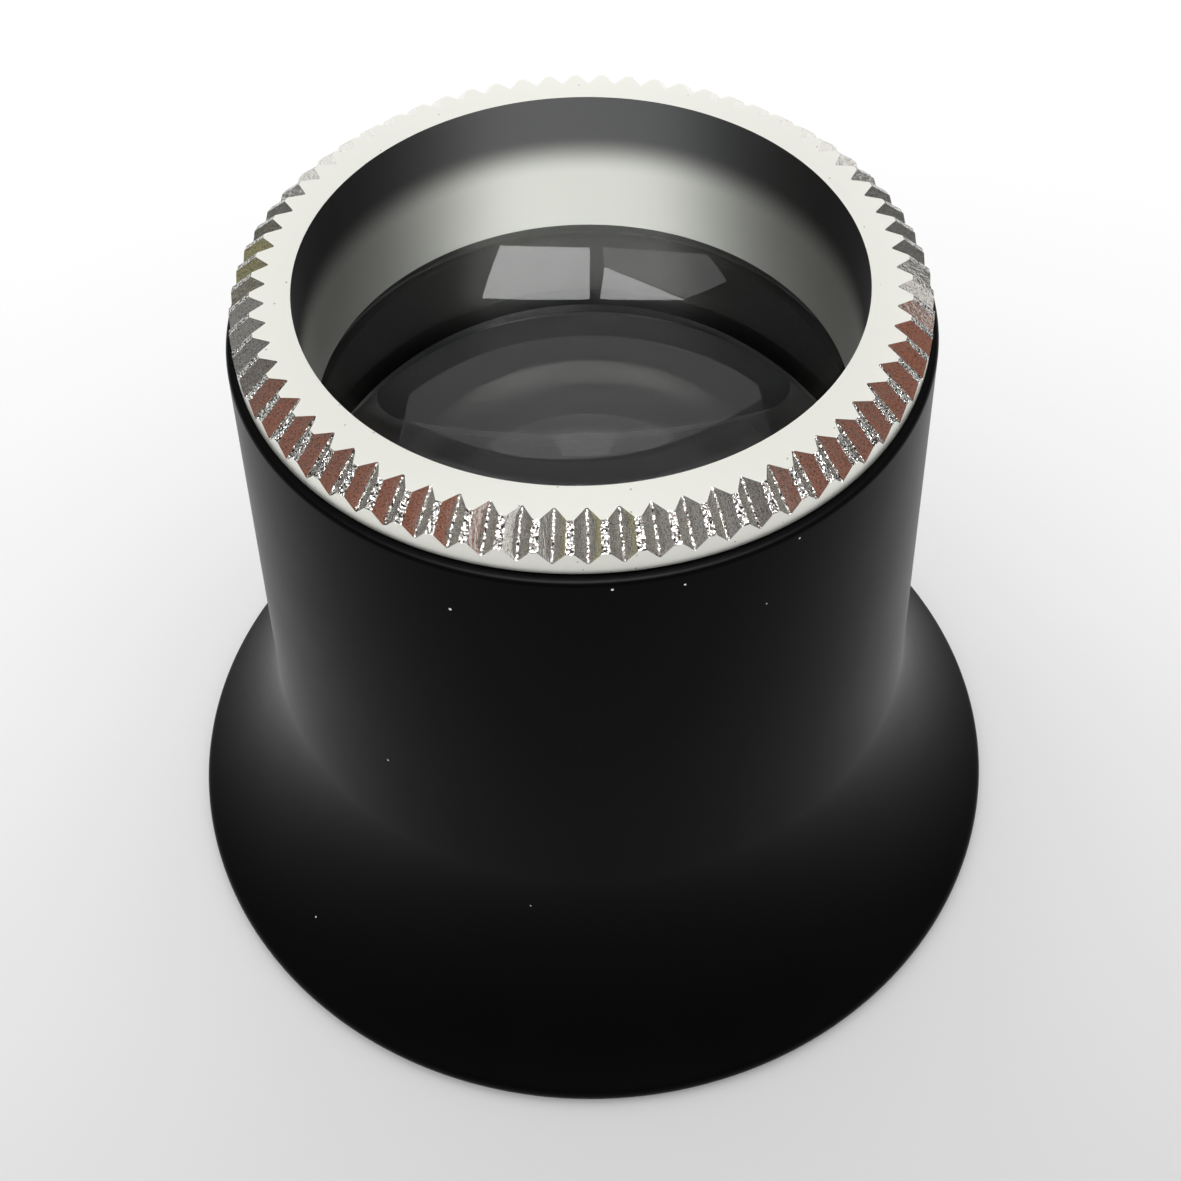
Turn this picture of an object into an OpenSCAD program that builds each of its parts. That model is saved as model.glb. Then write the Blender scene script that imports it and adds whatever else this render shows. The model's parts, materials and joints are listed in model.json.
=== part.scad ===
// Watchmaker's loupe for the eye socket: a black moulded eyecup, two plano-convex lenses
// with a spacer between them, and a knurled aluminium ring that screws the lenses in.
// +Z points from the eye to the work. The loupe stands on its eye end at z = 0.

/* [Eyecup] */
// Outer diameter of the rim that sits in the eye socket
eye_d = 36; // [34:0.5:40]
// Height of the cup from its eye rim to the flat end under the ring
cup_h = 26.85; // [25:0.05:30]
// Wall of the cup round the thread's root, at its flat end
socket_wall = 0.85; // [0.7:0.05:1.2]
// Angle at which the neck widens towards the eye
taper_deg = 3.2; // [2:0.1:4]
// Length of plain neck between the shoulder and the flare
plain_neck = 2.33; // [1:0.01:3]
// Wall thickness of the neck and the flare
wall = 1.7; // [1.3:0.1:2]
// Radius of the rounded edges of the eye rim
lip_r = 0.5; // [0.3:0.1:0.7]
// Thickness of the shoulder that carries the lower lens
shoulder_t = 1.2; // [0.8:0.1:1.6]
// Width of the ledge on which the lower lens rests
shoulder_ledge = 1.2; // [0.8:0.1:1.6]
// Slope of the shoulder's underside, from level
shoulder_deg = 30; // [20:1:45]
// Radius of the rounded outer edge at the flat end
neck_edge_r = 0.2; // [0.1:0.05:0.3]

/* [Lens ring] */
// Width by which the rim stands out from the ring's sleeve
rim_w = 1.15; // [1.05:0.05:1.3]
// Width of the ledge that bears on the upper lens
ring_ledge = 0.55; // [0.4:0.05:0.7]
// Height of the rim that stands above the cup
rim_h = 1.62; // [1.5:0.02:2.4]
// Gap between the rim and the cup when the lenses are clamped
seam_gap = 0.08; // [0.05:0.01:0.15]
// Length of the ring's sleeve below the rim
sleeve_h = 6.13; // [5.6:0.01:6.8]
// Wall of the ring's sleeve round the upper lens
sleeve_wall = 0.5; // [0.4:0.05:0.6]
// Length of the sleeve below the upper lens's edge
sleeve_over = 0.18; // [0.1:0.02:0.4]
// Bevel on the rim's lower edge
rim_bevel = 0.06; // [0.02:0.01:0.12]

/* [Knurl] */
// Number of V grooves milled round the rim
groove_count = 69; // [50:1:72]
// Radial length over which the grooves run down from the top face
groove_run = 1.3; // [1.1:0.05:1.4]
// Depth below the top face at which the grooves run out on the rim's side
groove_drop = 1.1; // [0.9:0.05:1.2]
// Width of a groove at the bevel between two grooves
groove_w = 0.82; // [0.6:0.02:0.84]
// Depth of a groove, square to the bevel
groove_depth = 0.32; // [0.24:0.02:0.34]
// Width of the flat at the bottom of a groove
groove_flat = 0.07; // [0.04:0.01:0.1]

/* [Thread] */
// Distance between two turns
thread_pitch = 0.8; // [0.7:0.05:1]
// Width of the ridge at the sleeve, as a share of the distance between two turns
ridge_share = 0.8; // [0.7:0.02:0.82]
// Height of the thread's ridge
thread_h = 0.45; // [0.35:0.05:0.5]
// Radial gap between the ring's thread and the cup's
thread_gap = 0.15; // [0.12:0.01:0.18]
// Gap along the axis on each flank of the thread
flank_gap = 0.08; // [0.06:0.01:0.1]
// Plain length of the sleeve between the thread and the rim
thread_relief = 0.9; // [0.7:0.1:1.2]
// Plain length of the sleeve between its end and the middle of the first ridge
thread_lead = 0.83; // [0.7:0.01:1]
// Angle by which the cup's thread starts before the ring's
thread_ahead_deg = 90; // [60:5:120]
// Angle of a flank from square to the axis
flank_deg = 30; // [25:1:32]

/* [Lenses] */
// Diameter of both lenses
lens_d = 20.8; // [20.6:0.1:21]
// Radius of the convex faces
lens_radius = 26; // [22:0.5:40]
// Thickness of each lens at its edge
lens_edge = 1.47; // [1.2:0.01:2]
// Gap between the two convex faces on the axis
lens_gap = 0.4; // [0.2:0.1:1]
// Bevel on the edges of the lenses
lens_bevel = 0.1; // [0.05:0.01:0.2]
// Radial play of a lens in its seat
lens_play = 0.05; // [0.03:0.01:0.08]
// Radial play of the lower lens and the spacer in the cup
stack_play = 0.1; // [0.05:0.01:0.15]
// Wall of the spacer between the lenses
spacer_wall = 0.4; // [0.3:0.05:0.6]
// Gap between each end of the spacer and the convex face beside it
spacer_gap = 0.02; // [0.01:0.01:0.05]
// Free length in the cup below the ring's sleeve
sleeve_room = 0.5; // [0.3:0.1:0.8]

/* [Hidden] */

arc_steps = 32;
edge_steps = 8;
thread_steps = 40;
run_out_steps = 6;
run_out_least = 0.1;
round_fn = 180;
sunk = 0.1;
cutter_over = 1.15;
front_deg = -90;

// Radii, each from the lens outwards or inwards
eye_r = eye_d / 2;
lens_r = lens_d / 2;
seat_r = lens_r + lens_play;
pocket_r = lens_r + stack_play;
spacer_r = lens_r - spacer_wall;
bore_r = seat_r - ring_ledge;
aperture_r = pocket_r - shoulder_ledge;
core_r = seat_r + sleeve_wall;
crest_r = core_r + thread_h;
socket_r = core_r + thread_gap;
socket_root_r = crest_r + thread_gap;
ring_r = core_r + rim_w;
neck_r = socket_root_r + socket_wall;

// Depth of a convex face from its middle to a radius
function sag(r) = lens_radius - sqrt(lens_radius * lens_radius - r * r);

// Inner radius of the cup's neck at a height
function neck_inside(z) = neck_r + (cup_h - z) * tan(taper_deg) - wall / cos(taper_deg);

// Heights, from the cup's flat end upwards and then from the ring downwards
ring_bottom = cup_h + seam_gap;
ring_top = ring_bottom + rim_h;
sleeve_end = ring_bottom - sleeve_h;
socket_floor = sleeve_end - sleeve_room;
thread_top = ring_bottom - thread_relief - thread_pitch / 2;
thread_bottom = sleeve_end + thread_lead;
thread_turns = (thread_top - thread_bottom) / thread_pitch;
lens_top = sleeve_end + sleeve_over + lens_edge;
upper_middle = lens_top - lens_edge - sag(lens_r);
spacer_top = upper_middle + sag(spacer_r) - spacer_gap;
lower_middle = upper_middle - lens_gap;
spacer_bottom = lower_middle - sag(spacer_r) + spacer_gap;
seat_z = lower_middle - sag(lens_r) - lens_edge;
shoulder_bottom = seat_z - shoulder_t;
slope_end = shoulder_bottom - (neck_inside(shoulder_bottom) - aperture_r) * tan(shoulder_deg);
flare_start = slope_end - plain_neck;

// The flare is an arc that leaves the neck's taper line and ends on the rim's rounded edge
taper_dir = [cos(taper_deg), sin(taper_deg)];
flare_from = [neck_r + (cup_h - flare_start) * tan(taper_deg), flare_start];
lip_at = [eye_r - lip_r, lip_r];
reach = flare_from - lip_at;
flare_radius = (reach * reach - lip_r * lip_r) / (2 * (lip_r - reach * taper_dir));
flare_at = flare_from + flare_radius * taper_dir;
flare_end_deg = atan2(flare_at[1] - lip_at[1], flare_at[0] - lip_at[0]);
inside_radius = flare_radius + wall;
inside_end_deg = asin((flare_at[1] - lip_r) / (inside_radius - lip_r));
inner_lip_at = [flare_at[0] - (inside_radius - lip_r) * cos(inside_end_deg), lip_r];
neck_edge_at = [neck_r - neck_edge_r * (1 - sin(taper_deg)) / cos(taper_deg), cup_h - neck_edge_r];

// The grooves run down the rim's bevel, which lies parallel to their bottom lines
groove_start_r = ring_r - groove_run;
groove_deg = atan(groove_drop / (ring_r - groove_start_r));
bevel_top_r = groove_start_r + groove_depth / sin(groove_deg);
bevel_bottom_z = ring_top - groove_drop + groove_depth / cos(groove_deg);

// Points on an arc about a centre, from one angle to another
function arc(centre, r, from, to, steps) =
    [for (i = [0:steps]) let (a = from + (to - from) * i / steps) centre + r * [cos(a), sin(a)]];

// Half the width of the thread's ridge at a radius
function ridge_half(r) = ridge_share * thread_pitch / 2 - (r - core_r) * tan(flank_deg);

function cup_outside() = concat(
    arc(neck_edge_at, neck_edge_r, 90, taper_deg, edge_steps),
    arc(flare_at, flare_radius, 180 + taper_deg, 180 + flare_end_deg, arc_steps),
    arc(lip_at, lip_r, flare_end_deg, -90, edge_steps));

function cup_inside() = concat(
    arc(inner_lip_at, lip_r, 270, 180 + inside_end_deg, edge_steps),
    arc(flare_at, inside_radius, 180 + inside_end_deg, 180 + taper_deg, arc_steps),
    [[neck_inside(slope_end), slope_end], [aperture_r, shoulder_bottom]]);

function cup_pocket() = [
    [aperture_r, seat_z], [pocket_r, seat_z],
    [pocket_r, socket_floor], [socket_r, socket_floor],
    [socket_r, cup_h - socket_root_r + socket_r], [socket_root_r, cup_h]];

// A right-handed ridge that winds up round the Z axis. half_in and half_out are half its widths
// at the radii r_in and r_out, and at both ends it sinks towards r_in.
module helix(turns, z0, r_in, r_out, half_in, half_out) {
    steps = round(turns * thread_steps);
    rise = thread_pitch / thread_steps;
    turn = 360 / thread_steps;
    function share(i) = max(run_out_least, min(1, i / run_out_steps, (steps - i) / run_out_steps));
    function section(i) = let (
        r = r_in + (r_out - r_in) * share(i),
        half = half_in + (half_out - half_in) * share(i))
        [[r_in, -half_in], [r, -half], [r, half], [r_in, half_in]];
    points = [for (i = [0:steps]) for (p = section(i))
        [p[0] * cos(i * turn), p[0] * sin(i * turn), z0 + i * rise + p[1]]];
    sides = [for (i = [0:steps - 1]) for (k = [0:3])
        let (a = 4 * i + k, b = 4 * i + (k + 1) % 4)
        each [[a, b, a + 4], [b, b + 4, a + 4]]];
    last = 4 * steps;
    ends = [[2, 1, 0], [3, 2, 0], [last, last + 1, last + 2], [last, last + 2, last + 3]];
    polyhedron(points, concat(ends, sides));
}

// The cup's thread starts before the ring's and runs out through the flat end
module cup_thread() {
    from = thread_bottom - thread_pitch * thread_ahead_deg / 360;
    rotate([0, 0, -thread_ahead_deg])
        helix((cup_h + thread_pitch - from) / thread_pitch, from, socket_r - sunk, socket_root_r,
            ridge_half(socket_r - sunk) + flank_gap, ridge_half(socket_root_r) + flank_gap);
}

module eyecup() {
    color("#151517")
    difference() {
        rotate_extrude($fn = round_fn)
            polygon(concat(cup_outside(), cup_inside(), cup_pocket()));
        cup_thread();
    }
}

// A bar with a V section, lying along one groove
module groove_cutter() {
    length = norm([ring_r - groove_start_r, groove_drop]);
    half_top = groove_flat / 2 + cutter_over * (groove_w - groove_flat) / 2;
    top = cutter_over * groove_depth;
    translate([groove_start_r, 0, ring_top])
        rotate([0, groove_deg, 0])
            translate([-length / 2, 0, 0])
                rotate([90, 0, 90])
                    linear_extrude(2 * length)
                        polygon([[-groove_flat / 2, 0], [groove_flat / 2, 0],
                            [half_top, top], [-half_top, top]]);
}

module ring_turning() {
    rotate_extrude($fn = round_fn)
        polygon([[bore_r, ring_top], [bevel_top_r, ring_top], [ring_r, bevel_bottom_z],
            [ring_r, ring_bottom + rim_bevel], [ring_r - rim_bevel, ring_bottom],
            [core_r, ring_bottom], [core_r, sleeve_end + sunk], [core_r - sunk, sleeve_end],
            [seat_r, sleeve_end], [seat_r, lens_top], [bore_r, lens_top]]);
}

module lens_ring() {
    color("#cfcfca") {
        difference() {
            union() {
                ring_turning();
                helix(thread_turns, thread_bottom, core_r - sunk, crest_r,
                    ridge_half(core_r - sunk), ridge_half(crest_r));
            }
            for (i = [0:groove_count - 1])
                rotate([0, 0, front_deg + i * 360 / groove_count])
                    groove_cutter();
        }
    }
}

// A plano-convex lens with its flat face up at z = 0
module lens() {
    color([0.85, 0.92, 0.9, 0.4])
    rotate_extrude($fn = round_fn)
        polygon(concat(
            [[0, 0], [lens_r - lens_bevel, 0], [lens_r, -lens_bevel], [lens_r, -lens_edge]],
            [for (i = [arc_steps:-1:0]) let (r = (lens_r - lens_bevel) * i / arc_steps)
                [r, -lens_edge - sag(lens_r) + sag(r)]]));
}

module upper_lens() {
    translate([0, 0, lens_top])
        lens();
}

module lower_lens() {
    translate([0, 0, seat_z])
        mirror([0, 0, 1])
            lens();
}

module spacer_ring() {
    color("#2a2a2c")
    rotate_extrude($fn = round_fn)
        polygon([[spacer_r, spacer_bottom], [lens_r, spacer_bottom],
            [lens_r, spacer_top], [spacer_r, spacer_top]]);
}

eyecup();
lens_ring();
upper_lens();
spacer_ring();
lower_lens();
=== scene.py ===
# Watchmaker's loupe: the looks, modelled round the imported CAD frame
import bpy
import json
import math
from mathutils import Matrix, Vector

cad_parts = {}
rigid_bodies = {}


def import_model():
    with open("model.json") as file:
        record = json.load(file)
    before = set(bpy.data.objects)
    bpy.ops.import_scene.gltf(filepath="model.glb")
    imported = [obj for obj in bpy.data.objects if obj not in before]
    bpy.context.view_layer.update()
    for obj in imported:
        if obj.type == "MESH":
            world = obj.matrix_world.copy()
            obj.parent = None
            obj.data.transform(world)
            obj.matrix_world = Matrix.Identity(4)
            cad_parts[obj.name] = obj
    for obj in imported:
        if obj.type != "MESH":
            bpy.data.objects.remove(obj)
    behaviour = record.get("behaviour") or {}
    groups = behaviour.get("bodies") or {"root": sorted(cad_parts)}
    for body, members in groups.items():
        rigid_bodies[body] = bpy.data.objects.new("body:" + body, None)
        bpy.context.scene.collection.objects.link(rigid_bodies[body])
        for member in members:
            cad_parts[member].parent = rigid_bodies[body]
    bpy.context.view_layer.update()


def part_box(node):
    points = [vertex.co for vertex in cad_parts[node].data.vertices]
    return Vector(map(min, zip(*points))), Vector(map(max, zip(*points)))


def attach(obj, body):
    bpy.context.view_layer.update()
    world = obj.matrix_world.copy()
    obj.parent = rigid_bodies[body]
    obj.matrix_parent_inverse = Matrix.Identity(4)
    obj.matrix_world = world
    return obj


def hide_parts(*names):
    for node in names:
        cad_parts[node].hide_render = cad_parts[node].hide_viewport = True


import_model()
mm = 0.001


# Camera at the photograph's angle. Its place and lens were fitted to the rims in the photograph.
cameraSetup = {
    "place": (0.0, -44.56, 66.95),   # mm, from the centre of the eye rim
    "pitch": 51.48,                  # degrees below level
    "yaw": 0.05,
    "roll": -1.54,
    "focal": 1689.0,                 # pixels, in a frame 1181 pixels wide
    "frameWidth": 1181.0,
    "sensor": 36.0,                  # mm
    "clip": (0.005, 20.0),           # metres
}


def setCamera(setup):
    pitch, yaw, roll = (math.radians(setup[k]) for k in ("pitch", "yaw", "roll"))
    ahead = Vector((0, math.cos(pitch), -math.sin(pitch)))
    up = Vector((0, math.sin(pitch), math.cos(pitch)))
    right = Vector((1, 0, 0))
    look = math.cos(yaw) * ahead + math.sin(yaw) * right
    side = math.cos(yaw) * right - math.sin(yaw) * ahead
    camX = math.cos(roll) * side + math.sin(roll) * up
    camY = math.cos(roll) * up - math.sin(roll) * side
    turn = Matrix((camX, camY, -look)).transposed().to_4x4()
    bpy.ops.object.camera_add()
    cam = bpy.context.object
    cam.name = "camera"
    cam.matrix_world = Matrix.Translation(Vector(setup["place"]) * mm) @ turn
    cam.data.sensor_width = setup["sensor"]
    cam.data.lens = setup["sensor"] * setup["focal"] / setup["frameWidth"]
    cam.data.clip_start, cam.data.clip_end = setup["clip"]
    bpy.context.scene.camera = cam


setCamera(cameraSetup)
print("camera set")


# Small helpers for materials
def linear(hexColour):
    # an sRGB hex colour as linear light, as Blender's sockets take it
    parts = [int(hexColour[i:i + 2], 16) / 255 for i in (1, 3, 5)]
    light = [c / 12.92 if c <= 0.04045 else ((c + 0.055) / 1.055) ** 2.4 for c in parts]
    return (*light, 1.0)


def addNode(tree, kind, settings=None, links=None):
    # settings are node properties or input values, links are input name: (node, output name)
    node = tree.nodes.new(kind)
    for key, value in (settings or {}).items():
        if isinstance(key, int) or key in node.inputs:
            node.inputs[key].default_value = value
        else:
            setattr(node, key, value)
    for key, (source, output) in (links or {}).items():
        tree.links.new(source.outputs[output], node.inputs[key])
    return node


def newMaterial(name):
    mat = bpy.data.materials.new(name)
    mat.use_nodes = True
    tree = mat.node_tree
    tree.nodes.clear()
    return mat, tree


def noiseAt(tree, coords, output, sizeMm, detail):
    return addNode(tree, "ShaderNodeTexNoise", {"Scale": 1 / (sizeMm * mm), "Detail": detail},
                   {"Vector": (coords, output)})


def bumpFrom(tree, noise, depthMm):
    return addNode(tree, "ShaderNodeBump", {"Distance": depthMm * mm, "Strength": 1.0},
                   {"Height": (noise, "Fac")})


def between(tree, factor, output, first, second):
    # the first colour where the factor is 0, the second where it is 1
    tint = addNode(tree, "ShaderNodeMix", {"data_type": "RGBA"}, {"Factor": (factor, output)})
    tint.inputs["A"].default_value = linear(first)
    tint.inputs["B"].default_value = linear(second)
    return tint


def showShader(tree, shader, tint=None):
    if tint:
        tree.links.new(tint.outputs["Result"], shader.inputs["Base Color"])
    addNode(tree, "ShaderNodeOutputMaterial", {}, {"Surface": (shader, "BSDF")})


def polar(tree, coords):
    # angle round the axis, distance from it and height, in radians and metres
    parts = addNode(tree, "ShaderNodeSeparateXYZ", {}, {"Vector": (coords, "Object")})
    angle = addNode(tree, "ShaderNodeMath", {"operation": "ARCTAN2"},
                    {0: (parts, "Y"), 1: (parts, "X")})
    flat = addNode(tree, "ShaderNodeCombineXYZ", {}, {"X": (parts, "X"), "Y": (parts, "Y")})
    radius = addNode(tree, "ShaderNodeVectorMath", {"operation": "LENGTH"}, {0: (flat, "Vector")})
    return angle, radius, parts


# Black ABS, injection moulded with a fine satin surface: a deep black face on, that lights up
# softly at grazing angles and holds a few specks of dust
cupFinish = {
    "colour": "#030304",
    "roughness": 0.42,
    "smoother": 0.05, "rougher": 0.06,    # how far the roughness strays, in patches
    "patchMm": 4.0,
    "patchDetail": 4.0,
    "ior": 1.5,
    "specular": 0.03,
    "sheen": 0.25,
    "sheenRoughness": 0.3,
    "grainMm": 0.09,
    "grainDetail": 3.0,
    "grainDepthMm": 0.0025,
    # azimuth in degrees, height and width in mm
    "specks": [(-110.6, 24.92, 0.1), (-86.7, 26.55, 0.09), (-76.2, 26.3, 0.08),
               (-57.7, 26.5, 0.07), (-125.2, 14.73, 0.08), (-138.0, 2.82, 0.06),
               (-63.0, 24.1, 0.05), (-101.0, 8.2, 0.05)],
    "speckRadiusMm": 12.4,    # radius of the cup that turns an azimuth into a width
    "speckColour": "#d3d1ca",
}


def specks(tree, coords, f):
    # 1 on the specks of dust, 0 elsewhere
    angle, _, parts = polar(tree, coords)
    speckRadius = f["speckRadiusMm"] * mm
    around = addNode(tree, "ShaderNodeMath", {"operation": "MULTIPLY", 1: speckRadius},
                     {0: (angle, "Value")})
    place = addNode(tree, "ShaderNodeCombineXYZ", {}, {"X": (around, "Value"), "Y": (parts, "Z")})
    found = None
    for azimuth, height, width in f["specks"]:
        away = addNode(tree, "ShaderNodeVectorMath", {"operation": "DISTANCE"},
                       {0: (place, "Vector")})
        away.inputs[1].default_value = (math.radians(azimuth) * speckRadius, height * mm, 0)
        here = addNode(tree, "ShaderNodeMath", {"operation": "LESS_THAN", 1: width / 2 * mm},
                       {0: (away, "Value")})
        if found:
            here = addNode(tree, "ShaderNodeMath", {"operation": "MAXIMUM"},
                           {0: (here, "Value"), 1: (found, "Value")})
        found = here
    return found


def mouldedAbs(f):
    mat, tree = newMaterial("black moulded ABS")
    coords = addNode(tree, "ShaderNodeTexCoord")
    grain = noiseAt(tree, coords, "Object", f["grainMm"], f["grainDetail"])
    bump = bumpFrom(tree, grain, f["grainDepthMm"])
    patch = noiseAt(tree, coords, "Object", f["patchMm"], f["patchDetail"])
    rough = addNode(tree, "ShaderNodeMapRange",
                    {"To Min": f["roughness"] - f["smoother"],
                     "To Max": f["roughness"] + f["rougher"]}, {"Value": (patch, "Fac")})
    tint = between(tree, specks(tree, coords, f), "Value", f["colour"], f["speckColour"])
    shader = addNode(tree, "ShaderNodeBsdfPrincipled",
                     {"IOR": f["ior"], "Specular IOR Level": f["specular"],
                      "Sheen Weight": f["sheen"], "Sheen Roughness": f["sheenRoughness"]},
                     {"Roughness": (rough, "Result"), "Normal": (bump, "Normal")})
    showShader(tree, shader, tint)
    return mat


# Turned aluminium, left bright: a pale satin face with fine lines round the axis and a few pits
ringFinish = {
    "colour": "#f3f3eb",
    "roughness": 0.3,
    "lineMm": 0.035,
    "lineDetail": 2.0,
    "lineDepthMm": 0.0004,
    "lineWrapMm": 2.0,    # radius of the circle that the lines are laid along: less draws them out
    "pitMm": 0.55,
    "pitShare": 0.07,
    "pitColour": "#b9b9b2",
}


def turnedAluminium(f):
    mat, tree = newMaterial("turned bright aluminium")
    coords = addNode(tree, "ShaderNodeTexCoord")
    angle, radius, parts = polar(tree, coords)
    wrapped = addNode(tree, "ShaderNodeMath", {"operation": "MULTIPLY", 1: f["lineWrapMm"] * mm},
                      {0: (angle, "Value")})
    place = addNode(tree, "ShaderNodeCombineXYZ", {},
                    {"X": (wrapped, "Value"), "Y": (radius, "Value"), "Z": (parts, "Z")})
    lines = noiseAt(tree, place, "Vector", f["lineMm"], f["lineDetail"])
    bump = bumpFrom(tree, lines, f["lineDepthMm"])
    pits = addNode(tree, "ShaderNodeTexVoronoi", {"Scale": 1 / (f["pitMm"] * mm)},
                   {"Vector": (coords, "Object")})
    pit = addNode(tree, "ShaderNodeMath", {"operation": "LESS_THAN", 1: f["pitShare"]},
                  {0: (pits, "Distance")})
    tint = between(tree, pit, "Value", f["colour"], f["pitColour"])
    shader = addNode(tree, "ShaderNodeBsdfPrincipled",
                     {"Metallic": 1.0, "Roughness": f["roughness"]}, {"Normal": (bump, "Normal")})
    showShader(tree, shader, tint)
    return mat


# Milled grooves: smooth bright flanks with faint streaks along the groove
grooveFinish = {
    "name": "milled aluminium flanks",
    "colour": "#efece6",
    "roughness": 0.16,
    "streakMm": 0.075,
    "streakDetail": 3.0,
    "streakStretch": 0.25,
    "streakDepthMm": 0.01,
    "grainAndShadeColour": "#b5b1a9",
    "grainMm": 0.05,
    "grainDetail": 1.0,
    "grainAndShadeRange": (0.3, 0.5),
}

# Torn aluminium at the bottom of the grooves and on the lands between them: a crumbly surface that
# glitters, with dark grains painted in as shade between the glints
landFinish = {
    "name": "torn aluminium lands",
    "colour": "#f4f3ef",
    "roughness": 0.24,
    "streakMm": 0.11,
    "streakDetail": 3.0,
    "streakStretch": 0.6,
    "streakDepthMm": 0.11,
    # the dark grains: painted shade between the glints
    "grainAndShadeColour": "#4a4744",
    "grainMm": 0.07,
    "grainDetail": 1.0,
    "grainAndShadeRange": (0.42, 0.52),
}
grooveRadiusMm = 11.5


def milledAluminium(f):
    mat, tree = newMaterial(f["name"])
    coords = addNode(tree, "ShaderNodeTexCoord")
    angle, radius, parts = polar(tree, coords)
    around = addNode(tree, "ShaderNodeMath", {"operation": "MULTIPLY", 1: grooveRadiusMm * mm},
                     {0: (angle, "Value")})
    along = addNode(tree, "ShaderNodeMath", {"operation": "MULTIPLY", 1: f["streakStretch"]},
                    {0: (radius, "Value")})
    down = addNode(tree, "ShaderNodeMath", {"operation": "MULTIPLY", 1: f["streakStretch"]},
                   {0: (parts, "Z")})
    place = addNode(tree, "ShaderNodeCombineXYZ", {},
                    {"X": (around, "Value"), "Y": (along, "Value"), "Z": (down, "Value")})
    streaks = noiseAt(tree, place, "Vector", f["streakMm"], f["streakDetail"])
    bump = bumpFrom(tree, streaks, f["streakDepthMm"])
    # painted shade and tone: dark grains on the lands stand in for shade between glints, light grey
    # ones vary the flanks' tone
    grain = noiseAt(tree, coords, "Object", f["grainMm"], f["grainDetail"])
    darkest, brightest = f["grainAndShadeRange"]
    brightShare = addNode(tree, "ShaderNodeMapRange", {"From Min": darkest, "From Max": brightest},
                    {"Value": (grain, "Fac")})
    tint = between(tree, brightShare, "Result", f["grainAndShadeColour"], f["colour"])
    shader = addNode(tree, "ShaderNodeBsdfPrincipled",
                     {"Metallic": 1.0, "Roughness": f["roughness"]}, {"Normal": (bump, "Normal")})
    showShader(tree, shader, tint)
    return mat


# The bore's wall: bare aluminium below, whose fine turning lines spread the light up and down, and
# a band above it in a darker colour
wallFinish = {
    "colour": "#c0c2bc",
    "darkColour": "#545555",
    "darkFrom": 25.0, "darkTo": 26.8,    # heights in mm
    "roughness": 0.5,
    "stretch": 0.9,
    "stretchTurn": 0.25,                 # a quarter turn: up and down instead of round the bore
}


def satinAluminium(f):
    mat, tree = newMaterial("satin bored aluminium")
    coords = addNode(tree, "ShaderNodeTexCoord")
    parts = addNode(tree, "ShaderNodeSeparateXYZ", {}, {"Vector": (coords, "Object")})
    share = addNode(tree, "ShaderNodeMapRange",
                    {"From Min": f["darkFrom"] * mm, "From Max": f["darkTo"] * mm},
                    {"Value": (parts, "Z")})
    share.interpolation_type = "SMOOTHSTEP"
    tint = between(tree, share, "Result", f["colour"], f["darkColour"])
    about = addNode(tree, "ShaderNodeTangent", {"direction_type": "RADIAL", "axis": "Z"})
    shader = addNode(tree, "ShaderNodeBsdfPrincipled",
                     {"Metallic": 1.0, "Roughness": f["roughness"], "Anisotropic": f["stretch"],
                      "Anisotropic Rotation": f["stretchTurn"]}, {"Tangent": (about, "Tangent")})
    showShader(tree, shader, tint)
    return mat


# Black anodised aluminium of the spacer and of the ring's lens seat: dark satin, a little cloudy
anodisedFinish = {
    "colour": "#101011",
    "roughness": 0.24,
    "roughnessSpread": 0.03,
    "cloudMm": 1.5,
    "cloudDetail": 3.0,
    "ior": 1.5,
    "specular": 0.6,
}


def blackAnodised(f):
    mat, tree = newMaterial("black anodised aluminium")
    coords = addNode(tree, "ShaderNodeTexCoord")
    cloud = noiseAt(tree, coords, "Object", f["cloudMm"], f["cloudDetail"])
    rough = addNode(tree, "ShaderNodeMapRange",
                    {"To Min": f["roughness"] - f["roughnessSpread"],
                     "To Max": f["roughness"] + f["roughnessSpread"]}, {"Value": (cloud, "Fac")})
    shader = addNode(tree, "ShaderNodeBsdfPrincipled",
                     {"Base Color": linear(f["colour"]), "IOR": f["ior"],
                      "Specular IOR Level": f["specular"]}, {"Roughness": (rough, "Result")})
    showShader(tree, shader)
    return mat


# Crown glass, ground and polished: clear and uncoated, it mirrors the window at its flat face
glassFinish = {"colour": "#ffffff", "roughness": 0.0, "ior": 1.52}


def polishedGlass(f):
    mat, tree = newMaterial("polished crown glass")
    shader = addNode(tree, "ShaderNodeBsdfPrincipled",
                     {"Base Color": linear(f["colour"]), "Roughness": f["roughness"],
                      "IOR": f["ior"], "Transmission Weight": 1.0})
    showShader(tree, shader)
    return mat


# Ground and blackened edges of the lenses: dull black, so that they don't light up inside the glass
edgeFinish = {"colour": "#0d0d0d", "roughness": 0.6, "ior": 1.5}


def blackenedEdge(f):
    mat, tree = newMaterial("blackened ground edge")
    shader = addNode(tree, "ShaderNodeBsdfPrincipled",
                     {"Base Color": linear(f["colour"]), "Roughness": f["roughness"],
                      "IOR": f["ior"]})
    showShader(tree, shader)
    return mat


# Turned pieces: one point is drawn along the half section and the line is spun round Z
weldDistance = 0.001 * mm


def arcPoints(centre, radius, fromDeg, toDeg, steps):
    angles = [math.radians(fromDeg + (toDeg - fromDeg) * i / steps) for i in range(steps + 1)]
    return [(centre[0] + radius * math.cos(a), centre[1] + radius * math.sin(a)) for a in angles]


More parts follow.
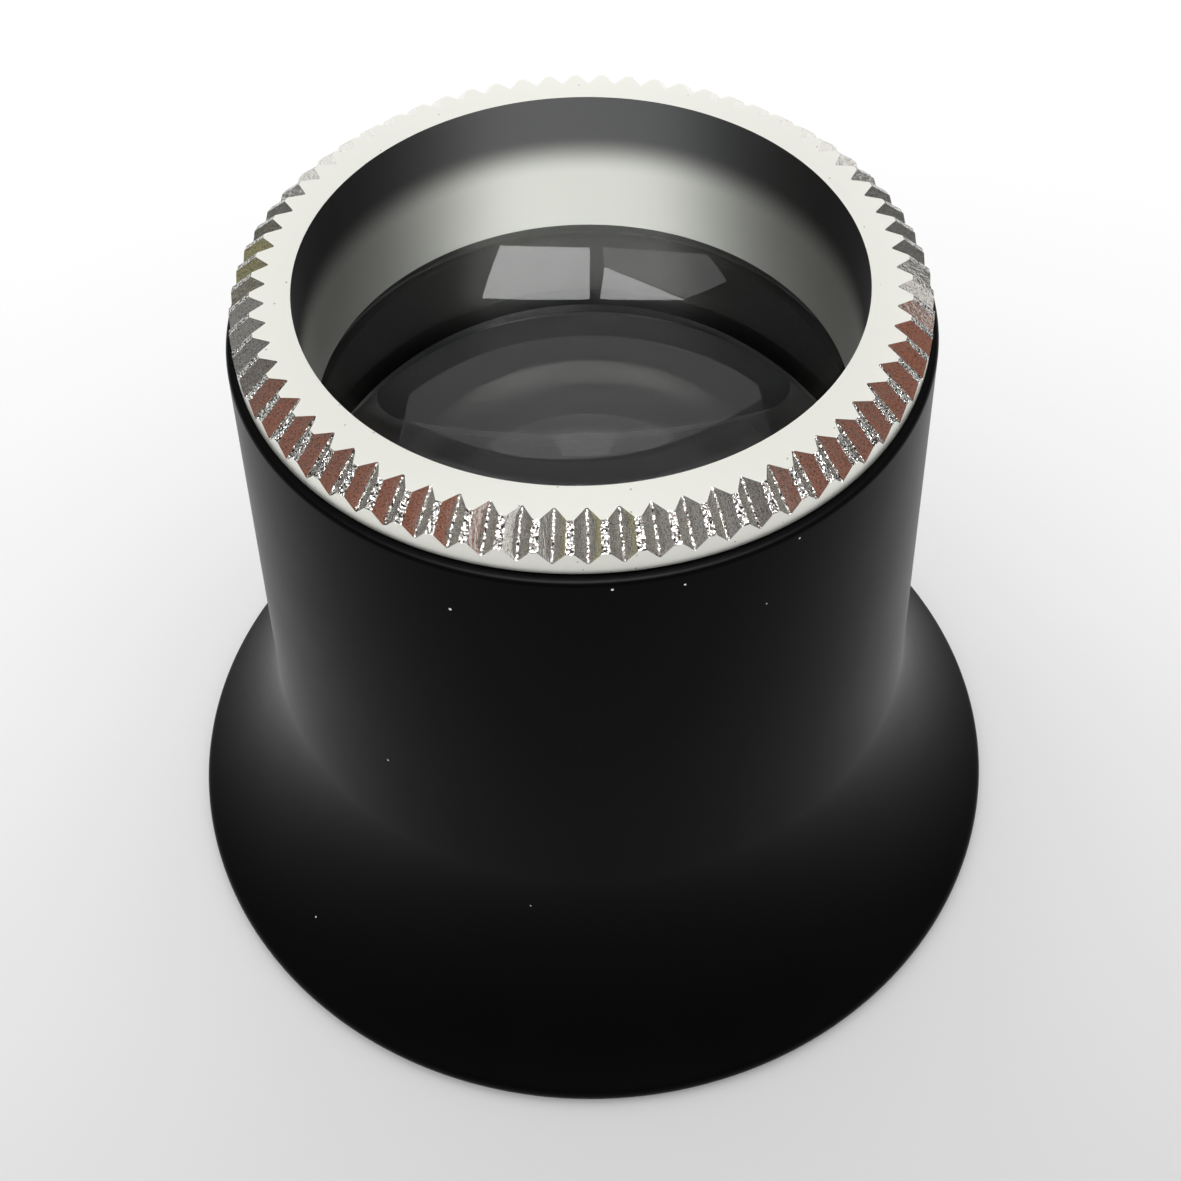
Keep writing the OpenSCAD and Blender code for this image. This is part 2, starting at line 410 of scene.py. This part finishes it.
def turnedPiece(name, outline, steps):
    bpy.ops.object.select_all(action="DESELECT")
    bpy.ops.mesh.primitive_plane_add(size=mm)
    piece = bpy.context.object
    piece.name = name
    bpy.ops.object.mode_set(mode="EDIT")
    bpy.ops.mesh.select_all(action="SELECT")
    bpy.ops.mesh.merge(type="CENTER")
    bpy.ops.transform.translate(value=(outline[0][0] * mm, 0, outline[0][1] * mm))
    for last, point in zip(outline, outline[1:]):
        move = ((point[0] - last[0]) * mm, 0, (point[1] - last[1]) * mm)
        bpy.ops.mesh.extrude_region_move(TRANSFORM_OT_translate={"value": move})
    bpy.ops.mesh.select_all(action="SELECT")
    bpy.ops.mesh.spin(steps=steps, angle=2 * math.pi, center=(0, 0, 0), axis=(0, 0, 1))
    bpy.ops.mesh.select_all(action="SELECT")
    bpy.ops.mesh.remove_doubles(threshold=weldDistance)
    bpy.ops.mesh.normals_make_consistent(inside=False)
    bpy.ops.object.mode_set(mode="OBJECT")
    return piece


def threadRidge(name, section, startMm, startDeg, pitch, turns, steps):
    # section: inner and outer radius and half the ridge's width at each, in mm
    bpy.ops.object.select_all(action="DESELECT")
    bpy.ops.mesh.primitive_plane_add(size=mm)
    ridge = bpy.context.object
    ridge.name = name
    inner, outer, halfInner, halfOuter = section
    corners = [(inner, -halfInner), (outer, -halfOuter), (inner, halfInner), (outer, halfOuter)]
    for vertex, (r, z) in zip(ridge.data.vertices, corners):
        vertex.co = (r * mm, 0, (startMm + z) * mm)
    wind = ridge.modifiers.new("wind", "SCREW")
    wind.screw_offset = pitch * mm
    wind.iterations = turns
    wind.steps = steps
    wind.render_steps = steps
    wind.use_normal_calculate = True
    bpy.ops.object.modifier_apply(modifier="wind")
    bpy.ops.object.mode_set(mode="EDIT")
    bpy.ops.mesh.select_all(action="SELECT")
    bpy.ops.mesh.remove_doubles(threshold=weldDistance)
    bpy.ops.mesh.fill_holes(sides=4)    # the ridge's two ends
    bpy.ops.mesh.select_all(action="SELECT")
    bpy.ops.mesh.normals_make_consistent(inside=False)
    bpy.ops.object.mode_set(mode="OBJECT")
    ridge.data.transform(Matrix.Rotation(math.radians(startDeg), 4, "Z"))
    return ridge


def combine(piece, tool, operation):
    step = piece.modifiers.new("combine", "BOOLEAN")
    step.operation = operation
    step.solver = "EXACT"
    step.object = tool
    bpy.ops.object.select_all(action="DESELECT")
    bpy.context.view_layer.objects.active = piece
    bpy.ops.object.modifier_apply(modifier="combine")
    bpy.data.objects.remove(tool)


def smooth(piece, angleDeg):
    bpy.ops.object.select_all(action="DESELECT")
    piece.select_set(True)
    bpy.context.view_layer.objects.active = piece
    bpy.ops.object.shade_smooth_by_angle(angle=math.radians(angleDeg))


def sizesOf(node):
    # a turned node's radius, bottom and top, in mm
    low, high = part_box(node)
    return high[0] / mm, low[2] / mm, high[2] / mm


eyeR, _, cupTop = sizesOf("eyecup")
_, sleeveEnd, ringTop = sizesOf("lens_ring")
lensR, _, upperTop = sizesOf("upper_lens")
_, lowerBottom, _ = sizesOf("lower_lens")
_, spacerLow, spacerTop = sizesOf("spacer_ring")

# The thread between cup and ring. Sizes here and below are in mm.
threadSizes = {
    "pitch": 0.8,
    "turns": 5,
    "start": 21.63,       # height of the middle of the ridge's first section
    "core": 10.95, "crest": 11.4,
    "halfRidge": 0.4,     # half the ridge's width at the core, as a share of the pitch
    "flankDeg": 30,
    "radialGap": 0.15, "flankGap": 0.08,
    "sunk": 0.1,          # how far the ridge's foot goes into its body
    "aheadDeg": 90,       # the cup's thread starts before the ring's
    "moreTurns": 3,       # and runs out through the cup's top
    "steps": 96,
}


def ridgeHalf(r):
    t = threadSizes
    return t["halfRidge"] * t["pitch"] - (r - t["core"]) * math.tan(math.radians(t["flankDeg"]))


# Eyecup: the same section as the CAD's, with finer steps
cupSizes = {
    "neckR": 12.4, "taperDeg": 3.2, "flareStart": 10.0, "wall": 1.7, "lipR": 0.5,
    "shoulder": 1.2, "shoulderDeg": 30, "pocketR": 10.5, "apertureR": 9.3,
    "edgeR": 0.2, "sleeveRoom": 0.5,
    "steps": 288, "edgeSteps": 10, "flareSteps": 56, "lipSteps": 16, "innerLipSteps": 12,
    "insideSteps": 48,
    "smoothDeg": 30,
}


def makeEyecup(s):
    t = threadSizes
    taper = math.radians(s["taperDeg"])
    out = Vector((math.cos(taper), math.sin(taper)))
    flareTop = Vector((s["neckR"] + (cupTop - s["flareStart"]) * math.tan(taper), s["flareStart"]))
    lip = Vector((eyeR - s["lipR"], s["lipR"]))
    reach = flareTop - lip
    radius = (reach.dot(reach) - s["lipR"] ** 2) / (2 * (s["lipR"] - reach.dot(out)))
    centre = flareTop + radius * out
    endDeg = math.degrees(math.atan2(centre.y - lip.y, centre.x - lip.x))
    inside = radius + s["wall"]
    insideEnd = math.asin((centre.y - s["lipR"]) / (inside - s["lipR"]))
    insideEndDeg = math.degrees(insideEnd)
    innerLip = (centre.x - (inside - s["lipR"]) * math.cos(insideEnd), s["lipR"])
    edgeX = s["neckR"] - s["edgeR"] * (1 - math.sin(taper)) / math.cos(taper)
    seat = lowerBottom
    under = seat - s["shoulder"]

    def neckInside(z):
        return s["neckR"] + (cupTop - z) * math.tan(taper) - s["wall"] / math.cos(taper)

    slope = math.tan(math.radians(s["shoulderDeg"]))
    slopeEnd = under - (neckInside(under) - s["apertureR"]) * slope
    socket = t["core"] + t["radialGap"]
    root = t["crest"] + t["radialGap"]
    floor = sleeveEnd - s["sleeveRoom"]
    edgeAt = (edgeX, cupTop - s["edgeR"])
    neckDeg = 180 + s["taperDeg"]
    outline = (arcPoints(edgeAt, s["edgeR"], 90, s["taperDeg"], s["edgeSteps"])
               + arcPoints(centre, radius, neckDeg, 180 + endDeg, s["flareSteps"])
               + arcPoints(lip, s["lipR"], endDeg, -90, s["lipSteps"])
               + arcPoints(innerLip, s["lipR"], 270, 180 + insideEndDeg, s["innerLipSteps"])
               + arcPoints(centre, inside, 180 + insideEndDeg, neckDeg, s["insideSteps"])
               + [(neckInside(slopeEnd), slopeEnd), (s["apertureR"], under), (s["apertureR"], seat),
                  (s["pocketR"], seat), (s["pocketR"], floor), (socket, floor),
                  (socket, cupTop - root + socket), (root, cupTop)])
    outline.append(outline[0])
    cup = turnedPiece("eyecup_shell", outline, s["steps"])
    foot = socket - t["sunk"]
    section = (foot, root, ridgeHalf(foot) + t["flankGap"], ridgeHalf(root) + t["flankGap"])
    start = t["start"] - t["pitch"] * t["aheadDeg"] / 360
    groove = threadRidge("cup_thread", section, start, -t["aheadDeg"], t["pitch"],
                         t["turns"] + t["moreTurns"], t["steps"])
    combine(cup, groove, "DIFFERENCE")
    smooth(cup, s["smoothDeg"])
    cup.data.materials.clear()
    cup.data.materials.append(mouldedAbs(cupFinish))
    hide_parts("eyecup")
    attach(cup, "cup")


makeEyecup(cupSizes)
print("eyecup made")


# Lens ring: turned, then 69 grooves milled across its bevel
ringSizes = {
    "radius": 12.1, "bore": 9.9, "rim": 1.62, "bevel": 0.06, "sleeveBevel": 0.1, "seat": 10.45,
    "grooves": 69, "firstGrooveDeg": -90,
    "grooveStart": 10.8, "grooveDrop": 1.1, "grooveWidth": 0.82, "grooveDepth": 0.32,
    "grooveFlat": 0.07,
    "cutterReach": 1.15,     # how far the cutter stands out of the groove, as a share of its depth
    "cutterBehind": 0.25,    # share of the cutter's length that lies behind the groove's start
    "steps": 276,
    "smoothDeg": 22,
    # how faces are told apart: distances in mm, then least cosines to up, outwards and the bevel
    "near": 0.02, "close": 0.01, "rimEdge": 0.1,
    "facesUp": 0.99, "facesOut": 0.995, "facesBevel": 0.97,
    # the order of the ring's finishes
    "turned": 0, "flank": 1, "land": 2, "wall": 3, "lensSeat": 4,
}


def grooveCutters(s, slope):
    length = 2 * math.hypot(s["radius"] - s["grooveStart"], s["grooveDrop"])
    topHalf = s["grooveFlat"] / 2 + s["cutterReach"] * (s["grooveWidth"] - s["grooveFlat"]) / 2
    bpy.ops.object.select_all(action="DESELECT")
    bpy.ops.mesh.primitive_cube_add(size=1)
    cutter = bpy.context.object
    cutter.name = "groove_cutter"
    for vertex in cutter.data.vertices:
        high = vertex.co.z > 0
        half = topHalf if high else s["grooveFlat"] / 2
        vertex.co = ((vertex.co.x + 0.5 - s["cutterBehind"]) * length * mm,
                     math.copysign(half, vertex.co.y) * mm,
                     (s["cutterReach"] * s["grooveDepth"] if high else 0) * mm)
    lie = (Matrix.Translation((s["grooveStart"] * mm, 0, ringTop * mm))
           @ Matrix.Rotation(slope, 4, "Y"))
    cutter.data.transform(lie)
    for i in range(s["grooves"]):
        turn = math.radians(s["firstGrooveDeg"] + i * 360 / s["grooves"])
        one = cutter.copy()
        one.data = cutter.data.copy()
        one.data.transform(Matrix.Rotation(turn, 4, "Z"))
        bpy.context.collection.objects.link(one)
        one.select_set(True)
    cutter.select_set(False)
    bpy.context.view_layer.objects.active = one
    bpy.ops.object.join()
    bpy.data.objects.remove(cutter)
    return bpy.context.object


def ringFinishAt(s, face, slope):
    # which finish a face of the ring has, from its place and the way that it looks
    r = math.hypot(face.center.x, face.center.y) / mm
    z = face.center.z / mm
    outward = Vector((face.center.x, face.center.y, 0)).normalized()
    bevel = Vector((0, 0, math.cos(slope))) + outward * math.sin(slope)
    onTop = face.normal.z > s["facesUp"] and z > ringTop - s["close"]
    onSide = outward.dot(face.normal) > s["facesOut"]
    if r < s["seat"] + s["near"] and z < upperTop + s["close"]:
        return s["lensSeat"]
    if r < s["bore"] + s["near"]:
        return s["wall"]
    if z < ringTop - s["rim"] + s["rimEdge"] or onTop or onSide:
        return s["turned"]
    return s["land"] if face.normal.dot(bevel) > s["facesBevel"] else s["flank"]


def makeLensRing(s):
    t = threadSizes
    slope = math.atan(s["grooveDrop"] / (s["radius"] - s["grooveStart"]))
    bevelTop = s["grooveStart"] + s["grooveDepth"] / math.sin(slope)
    bevelLow = ringTop - s["grooveDrop"] + s["grooveDepth"] / math.cos(slope)
    under = ringTop - s["rim"]
    outline = [(s["bore"], ringTop), (bevelTop, ringTop), (s["radius"], bevelLow),
               (s["radius"], under + s["bevel"]), (s["radius"] - s["bevel"], under),
               (t["core"], under), (t["core"], sleeveEnd + s["sleeveBevel"]),
               (t["core"] - s["sleeveBevel"], sleeveEnd), (s["seat"], sleeveEnd),
               (s["seat"], upperTop), (s["bore"], upperTop), (s["bore"], ringTop)]
    ring = turnedPiece("lens_ring_metal", outline, s["steps"])
    foot = t["core"] - t["sunk"]
    section = (foot, t["crest"], ridgeHalf(foot), ridgeHalf(t["crest"]))
    ridge = threadRidge("ring_thread", section, t["start"], 0, t["pitch"], t["turns"], t["steps"])
    combine(ring, ridge, "UNION")
    combine(ring, grooveCutters(s, slope), "DIFFERENCE")
    smooth(ring, s["smoothDeg"])
    mesh = ring.data
    mesh.materials.clear()
    for mat in (turnedAluminium(ringFinish), milledAluminium(grooveFinish),
                milledAluminium(landFinish), satinAluminium(wallFinish),
                blackAnodised(anodisedFinish)):
        mesh.materials.append(mat)
    for face in mesh.polygons:
        face.material_index = ringFinishAt(s, face, slope)
    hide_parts("lens_ring")
    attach(ring, "ring")


makeLensRing(ringSizes)
print("lens ring made")


# Lenses: flat face to the outside, convex faces towards each other
lensSizes = {
    "surface": 26.0,    # radius of the convex faces
    "edge": 1.47, "bevel": 0.1,
    "steps": 192, "rings": 48,
    "smoothDeg": 20,
}


def sag(s, r):
    return s["surface"] - math.sqrt(s["surface"] ** 2 - r ** 2)


def lensOutline(s, flatAt, way):
    # way is 1 with the flat face up, -1 with it down
    last = lensR - s["bevel"]
    points = [(0, 0), (last, 0), (lensR, -s["bevel"]), (lensR, -s["edge"])]
    for i in range(s["rings"], -1, -1):
        r = last * i / s["rings"]
        points.append((r, -s["edge"] - sag(s, lensR) + sag(s, r)))
    return [(r, flatAt + way * z) for r, z in points]


def makeLens(name, node, body, flatAt, way):
    lens = turnedPiece(name, lensOutline(lensSizes, flatAt, way), lensSizes["steps"])
    smooth(lens, lensSizes["smoothDeg"])
    lens.data.materials.clear()
    lens.data.materials.append(polishedGlass(glassFinish))
    lens.data.materials.append(blackenedEdge(edgeFinish))
    for face in lens.data.polygons:
        r = math.hypot(face.center.x, face.center.y) / mm
        face.material_index = int(r > lensR - lensSizes["bevel"])
    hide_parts(node)
    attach(lens, body)


makeLens("upper_lens_glass", "upper_lens", "lens_cell", upperTop, 1)
makeLens("lower_lens_glass", "lower_lens", "cup", lowerBottom, -1)
print("lenses made")


# Spacer between the lenses, with its edges broken
spacerSizes = {"inner": 10.0, "chamfer": 0.05, "steps": 192, "smoothDeg": 30}


def makeSpacer(s):
    c = s["chamfer"]
    outline = [(s["inner"] + c, spacerTop), (lensR - c, spacerTop), (lensR, spacerTop - c),
               (lensR, spacerLow + c), (lensR - c, spacerLow), (s["inner"] + c, spacerLow),
               (s["inner"], spacerLow + c), (s["inner"], spacerTop - c),
               (s["inner"] + c, spacerTop)]
    spacer = turnedPiece("spacer_black", outline, s["steps"])
    smooth(spacer, s["smoothDeg"])
    spacer.data.materials.clear()
    spacer.data.materials.append(blackAnodised(anodisedFinish))
    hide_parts("spacer_ring")
    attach(spacer, "cup")


makeSpacer(spacerSizes)
print("spacer made")


# Matt white paper with painted shade: grey towards the camera and to the right, white far away
floorSizes = {
    "width": 3.0,             # metres
    "ramp": (-0.03, 0.06),    # metres along the slope of the light
    "aside": -0.1,            # how much of the slope goes to the side
    # painted shade: the paper's colour from the camera's end of the ramp to the far end
    "colours": [(0.0, "#d5d5d5"), (0.2, "#e6e6e6"), (0.38, "#f1f1f1"), (0.61, "#f6f6f6"),
                (1.0, "#fcfcfc")],
    "shade": (0.016, 0.35),   # painted shade under the cup: radius in metres, share of colour left there
    "fade": (0.075, 0.2),     # distances in metres between which the painted shade fades and the floor turns white
    "roughness": 0.9,
    "specular": 0.1,
}


def makeFloor(s):
    bpy.ops.object.select_all(action="DESELECT")
    bpy.ops.mesh.primitive_plane_add(size=s["width"], location=(0, 0, 0))
    floor = bpy.context.object
    floor.name = "floor"
    mat, tree = newMaterial("matt white paper, painted shade")
    coords = addNode(tree, "ShaderNodeTexCoord")
    parts = addNode(tree, "ShaderNodeSeparateXYZ", {}, {"Vector": (coords, "Object")})
    along = addNode(tree, "ShaderNodeMath", {"operation": "MULTIPLY_ADD", 1: s["aside"]},
                    {0: (parts, "X"), 2: (parts, "Y")})
    share = addNode(tree, "ShaderNodeMapRange",
                    {"From Min": s["ramp"][0], "From Max": s["ramp"][1]},
                    {"Value": (along, "Value")})
    # painted shade: the paper greys along the slope, towards the camera and to the right
    tint = addNode(tree, "ShaderNodeValToRGB", {}, {"Fac": (share, "Result")})
    stops = tint.color_ramp.elements
    for i, (place, colour) in enumerate(s["colours"]):
        stop = stops[i] if i < 2 else stops.new(place)    # a new ramp has two stops
        stop.position = place
        stop.color = linear(colour)
    reach = addNode(tree, "ShaderNodeVectorMath", {"operation": "LENGTH"},
                    {"Vector": (coords, "Object")})
    # painted shade under the cup: inside this radius the colour is cut to a share
    under = addNode(tree, "ShaderNodeMath", {"operation": "LESS_THAN", 1: s["shade"][0]},
                    {0: (reach, "Value")})
    left = addNode(tree, "ShaderNodeMapRange", {"To Min": 1.0, "To Max": s["shade"][1]},
                   {"Value": (under, "Value")})
    far = addNode(tree, "ShaderNodeMapRange", {"From Min": s["fade"][0], "From Max": s["fade"][1]},
                  {"Value": (reach, "Value")})
    pale = addNode(tree, "ShaderNodeMix", {"data_type": "RGBA"}, {"Factor": (far, "Result")})
    tree.links.new(tint.outputs["Color"], pale.inputs["A"])
    pale.inputs["B"].default_value = linear(s["colours"][-1][1])
    shaded = addNode(tree, "ShaderNodeVectorMath", {"operation": "SCALE"},
                     {"Scale": (left, "Result")})
    tree.links.new(pale.outputs["Result"], shaded.inputs["Vector"])
    shader = addNode(tree, "ShaderNodeBsdfPrincipled",
                     {"Roughness": s["roughness"], "Specular IOR Level": s["specular"]},
                     {"Base Color": (shaded, "Vector")})
    showShader(tree, shader)
    floor.data.materials.append(mat)


makeFloor(floorSizes)
print("floor made")

# The room: even white light. Metal and glass mirror it as a dim room with a bright wall behind the
# loupe.
roomLight = {
    "strength": 1.08, "side": 0.08,    # the even light, and how much of it falls off to the right
    "dim": 0.1, "bright": 0.92,
    "elevation": 36,                   # degrees, of the bright wall's middle
    "edges": (34, 22),                 # degrees from that middle: all dim, all bright
    "throughGlass": 0.08,              # share of the mirrored room that shows through the lenses
}


def setWorld(s):
    world = bpy.data.worlds.new("white studio")
    bpy.context.scene.world = world
    world.use_nodes = True
    world.cycles.sampling_method = "NONE"
    tree = world.node_tree
    tree.nodes.clear()
    coords = addNode(tree, "ShaderNodeTexCoord")
    parts = addNode(tree, "ShaderNodeSeparateXYZ", {}, {"Vector": (coords, "Generated")})
    even = addNode(tree, "ShaderNodeMath",
                   {"operation": "MULTIPLY_ADD", 1: -s["side"], 2: s["strength"]},
                   {0: (parts, "X")})
    tilt = math.radians(s["elevation"])
    towards = addNode(tree, "ShaderNodeVectorMath", {"operation": "DOT_PRODUCT"},
                      {0: (coords, "Generated")})
    towards.inputs[1].default_value = (0, math.cos(tilt), math.sin(tilt))
    outer, inner = (math.cos(math.radians(a)) for a in s["edges"])
    wall = addNode(tree, "ShaderNodeMapRange",
                   {"From Min": outer, "From Max": inner,
                    "To Min": s["dim"], "To Max": s["bright"]}, {"Value": (towards, "Value")})
    wall.interpolation_type = "SMOOTHSTEP"
    path = addNode(tree, "ShaderNodeLightPath")
    mirrored = addNode(tree, "ShaderNodeMath", {"operation": "MAXIMUM"},
                       {0: (path, "Is Glossy Ray"), 1: (path, "Is Transmission Ray")})
    behindGlass = addNode(tree, "ShaderNodeMapRange", {"To Min": 1.0, "To Max": s["throughGlass"]},
                          {"Value": (path, "Is Transmission Ray")})
    level = addNode(tree, "ShaderNodeMath", {"operation": "MULTIPLY"},
                    {0: (wall, "Result"), 1: (behindGlass, "Result")})
    white = linear("#ffffff")
    soft = addNode(tree, "ShaderNodeBackground", {"Color": white}, {"Strength": (even, "Value")})
    room = addNode(tree, "ShaderNodeBackground", {"Color": white}, {"Strength": (level, "Value")})
    mix = addNode(tree, "ShaderNodeMixShader", {},
                  {0: (mirrored, "Value"), 1: (soft, "Background"), 2: (room, "Background")})
    addNode(tree, "ShaderNodeOutputWorld", {}, {"Surface": (mix, "Shader")})


setWorld(roomLight)

# The round edge of the pale disc in the glass: the front edge of what its flat face mirrors there,
# in metres, a shallow bow about a middle that lies a little to the left
discBow = {"front": 0.903, "bend": 2.6, "middle": -0.008, "half": 0.15, "points": 11}


def bowPoints(b):
    step = 2 * b["half"] / (b["points"] - 1)
    across = [-b["half"] + i * step for i in range(b["points"])]
    return [(x, b["front"] + b["bend"] * (x - b["middle"]) ** 2) for x in across]


# What the glass and the metal mirror: flat cards at a height in metres, with corners in metres,
# the colour of their light and its strength
windowCards = {
    "window_left": (1.02, [(-0.033, -0.03), (0.42, -0.035), (0.37, -0.38), (-0.044, -0.345)],
                    "#ffffff", 6.4),
    "window_right": (1.02, [(-0.075, -0.03), (-0.44, 0.01), (-0.1, -0.22)], "#ffffff", 6.4),
    "window_dim": (1.02, [(-0.1, -0.225), (-0.445, 0.005), (-0.7, -0.08), (-0.62, -0.28),
                          (-0.1, -0.345)], "#ffffff", 1.3),
    "window_front": (1.03, [(-0.42, -0.14), (0.42, -0.14), (0.42, -0.32), (-0.42, -0.32)],
                     "#ffffff", 95.0),
    "grey_card": (1.0, [(-0.155, 0.93), (0.155, 0.93), (0.115, 1.3), (-0.115, 1.3)],
                  "#ffffff", 0.65),
    "pale_card": (0.998, [(-0.13, 0.895), (0.13, 0.895), (0.13, 0.953), (0.07, 0.941), (0, 0.937),
                          (-0.07, 0.941), (-0.13, 0.951)], "#ffffff", 0.82),
    "dark_card": (0.996, bowPoints(discBow) + [(0.163, 0.86), (-0.163, 0.86)], "#ffffff", 0.25),
    "black_card_left": (1.0, [(-0.163, 0.86), (-0.24, 0.86), (-0.24, 1.3), (-0.115, 1.3)],
                        "#ffffff", 0.02),
    "black_card_right": (1.0, [(0.163, 0.86), (0.24, 0.86), (0.24, 1.3), (0.115, 1.3)],
                         "#ffffff", 0.02),
}

# Standing cards round the loupe: azimuth from and to, in degrees clockwise from +Y, elevation from
# and to, in degrees, the colour of their light and its strength
standingCards = {
    "back_wall": ((-24, 24), (18, 34), "#ffffff", 1.22),
    "room_right": ((82, 108), (0, 16), "#ffffff", 0.14),
    "door_right": ((108, 123), (11, 22), "#ffffff", 0.8),
    "brown_wall": ((123, 212), (10, 29), "#94604f", 0.85),
    "dark_corner": ((212, 222), (0, 24), "#ffffff", 0.2),
    "room_left": ((222, 252), (0, 24), "#ffffff", 0.24),
    "curtain": ((252, 273), (0, 15), "#a3a074", 0.8),
}
standingRadius = 0.6    # metres
standingParts = 8       # flat parts of each standing card, laid round the loupe


def addCard(name, corners, colour, strength):
    mesh = bpy.data.meshes.new(name)
    mesh.from_pydata(corners, [], [list(range(len(corners)))])
    card = bpy.data.objects.new(name, mesh)
    bpy.context.collection.objects.link(card)
    mat, tree = newMaterial(name)
    light = addNode(tree, "ShaderNodeEmission", {"Color": linear(colour), "Strength": strength})
    addNode(tree, "ShaderNodeOutputMaterial", {}, {"Surface": (light, "Emission")})
    mesh.materials.append(mat)
    card.visible_camera = False
    card.visible_diffuse = False
    card.visible_shadow = False


for name, (height, corners, colour, strength) in windowCards.items():
    addCard(name, [(x, y, height) for x, y in corners], colour, strength)

for name, ((first, last), elevations, colour, strength) in standingCards.items():
    turns = [math.radians(first + (last - first) * i / standingParts)
             for i in range(standingParts + 1)]
    low, high = (standingRadius * math.tan(math.radians(e)) for e in elevations)
    around = [(standingRadius * math.sin(a), standingRadius * math.cos(a)) for a in turns]
    for i in range(standingParts):
        (x0, y0), (x1, y1) = around[i:i + 2]
        corners = [(x0, y0, low), (x1, y1, low), (x1, y1, high), (x0, y0, high)]
        addCard(f"{name}_{i}", corners, colour, strength)

# The front window and the wall behind light the metal alone and stay out of sight in the lenses
bpy.data.objects["window_front"].visible_transmission = False
for i in range(standingParts):
    bpy.data.objects[f"back_wall_{i}"].visible_transmission = False
print("room and cards made")

scene = bpy.context.scene
scene.view_settings.view_transform = "Standard"
scene.cycles.max_bounces = 24
scene.cycles.transmission_bounces = 20
scene.cycles.glossy_bounces = 12
